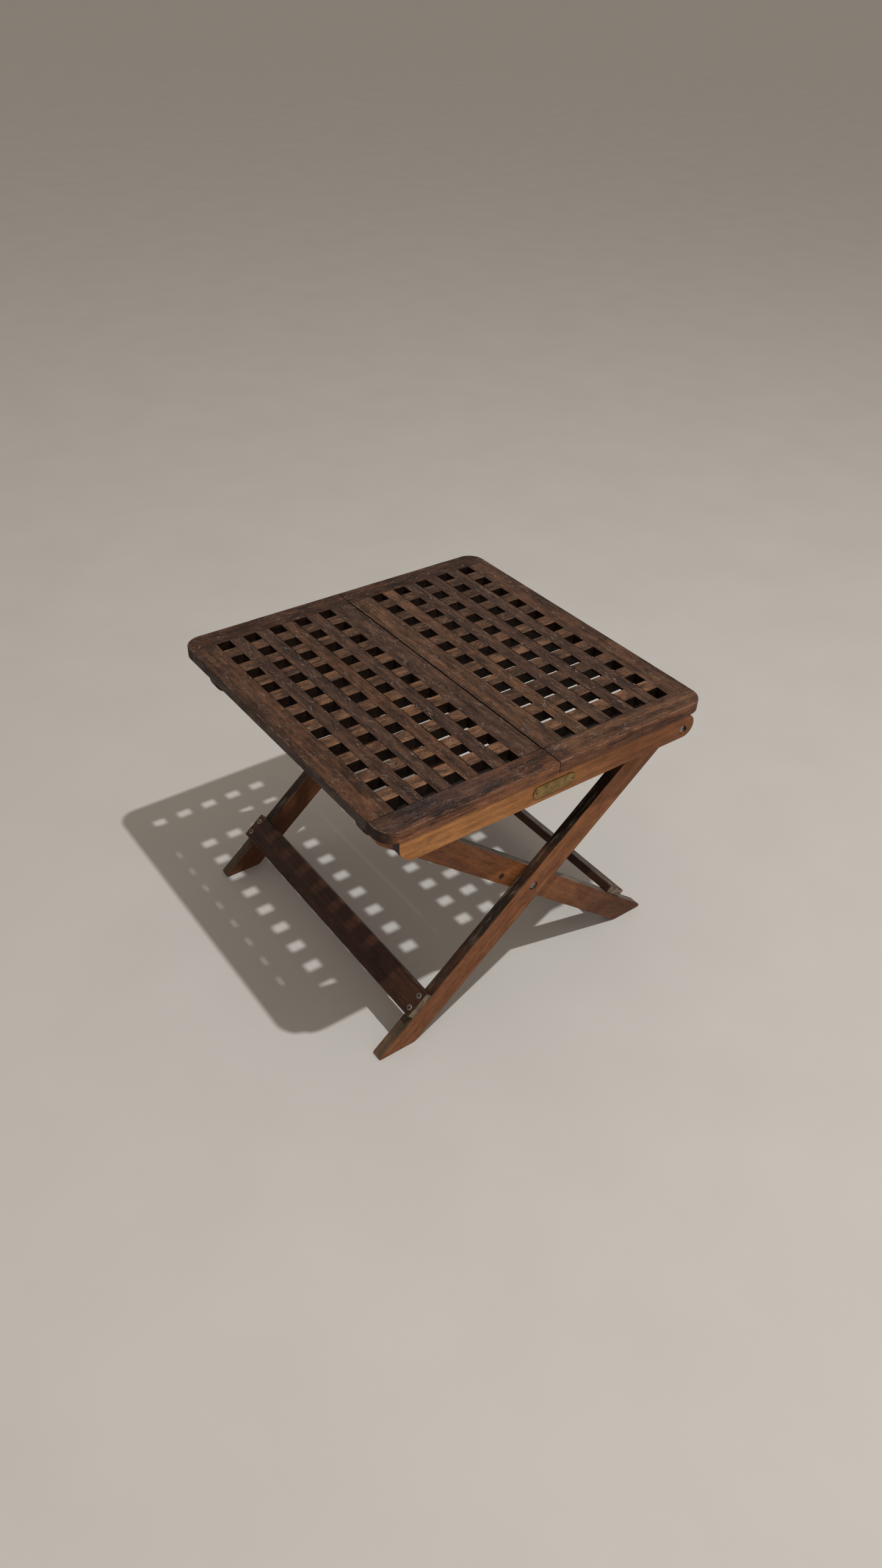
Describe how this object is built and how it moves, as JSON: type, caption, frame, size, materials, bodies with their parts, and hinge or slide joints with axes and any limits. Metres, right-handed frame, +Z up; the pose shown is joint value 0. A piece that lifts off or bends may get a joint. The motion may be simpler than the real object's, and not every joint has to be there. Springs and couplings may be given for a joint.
{
  "type": "folding table",
  "caption": "Low wooden folding table with an open grating top in two leaves, side aprons and crossed legs that pivot closed.",
  "frame": {"origin": "on the floor under the middle of the top, with the table standing open", "axes": "+Z up, +X along the aprons towards the end that the outer legs are bolted to, +Y along the joint between the two leaves, away from the side with the blank plate"},
  "size_m": [0.502, 0.5, 0.41],
  "materials": {
    "top_frame": "weathered dark oiled wood with scratches and worn edges",
    "long_slats": "weathered dark grey-brown wood",
    "cross_slats": "weathered orange-brown wood",
    "aprons": "orange-brown oiled wood, satin",
    "legs": "red-brown oiled wood, satin, greyed on the upper edges",
    "stretchers": "dark oiled wood",
    "plate": "dull tarnished brass",
    "hardware": "dull zinc-plated steel"
  },
  "bodies": {
    "top": {"left_leaf_rail_near": "top_frame", "left_leaf_rail_far": "top_frame", "left_leaf_stile_inner": "top_frame", "left_leaf_stile_outer": "top_frame", "left_leaf_slat_1": "long_slats", "left_leaf_slat_2": "long_slats", "left_leaf_slat_3": "long_slats", "left_leaf_slat_4": "long_slats", "left_leaf_cross_1": "cross_slats", "left_leaf_cross_2": "cross_slats", "left_leaf_cross_3": "cross_slats", "left_leaf_cross_4": "cross_slats", "left_leaf_cross_5": "cross_slats", "left_leaf_cross_6": "cross_slats", "left_leaf_cross_7": "cross_slats", "left_leaf_cross_8": "cross_slats", "left_leaf_cross_9": "cross_slats", "left_leaf_cross_10": "cross_slats", "right_leaf_rail_near": "top_frame", "right_leaf_rail_far": "top_frame", "right_leaf_stile_inner": "top_frame", "right_leaf_stile_outer": "top_frame", "right_leaf_slat_1": "long_slats", "right_leaf_slat_2": "long_slats", "right_leaf_slat_3": "long_slats", "right_leaf_slat_4": "long_slats", "right_leaf_cross_1": "cross_slats", "right_leaf_cross_2": "cross_slats", "right_leaf_cross_3": "cross_slats", "right_leaf_cross_4": "cross_slats", "right_leaf_cross_5": "cross_slats", "right_leaf_cross_6": "cross_slats", "right_leaf_cross_7": "cross_slats", "right_leaf_cross_8": "cross_slats", "right_leaf_cross_9": "cross_slats", "right_leaf_cross_10": "cross_slats", "apron_near": "aprons", "rod_cleat_near": "aprons", "rod_runner_near": "aprons", "apron_bolt_near": "hardware", "apron_bolt_nut_near": "hardware", "apron_spacer_near": "stretchers", "apron_far": "aprons", "rod_cleat_far": "aprons", "rod_runner_far": "aprons", "apron_bolt_far": "hardware", "apron_bolt_nut_far": "hardware", "apron_spacer_far": "stretchers", "name_plate": "plate"},
    "outer_frame": {"outer_leg_near": "legs", "centre_bolt_near": "hardware", "centre_bolt_nut_near": "hardware", "outer_leg_far": "legs", "centre_bolt_far": "hardware", "centre_bolt_nut_far": "hardware", "outer_stretcher": "stretchers"},
    "inner_frame": {"inner_leg_near": "legs", "inner_leg_far": "legs", "inner_stretcher": "stretchers", "top_rod": "legs"}
  },
  "joints": [
    {"name": "outer_frame_swing", "type": "hinge", "parent": "top", "child": "outer_frame", "pos_m": [0.217, 0, 0.3715], "axis": [0, -1, 0], "range_deg": [0, 49.5]},
    {"name": "inner_frame_swing", "type": "hinge", "parent": "outer_frame", "child": "inner_frame", "pos_m": [0.004, 0, 0.187], "axis": [0, 1, 0], "range_deg": [0, 99]}
  ],
  "couplings": [
    {"joint": "inner_frame_swing", "follows": "outer_frame_swing", "ratio": 2}
  ]
}
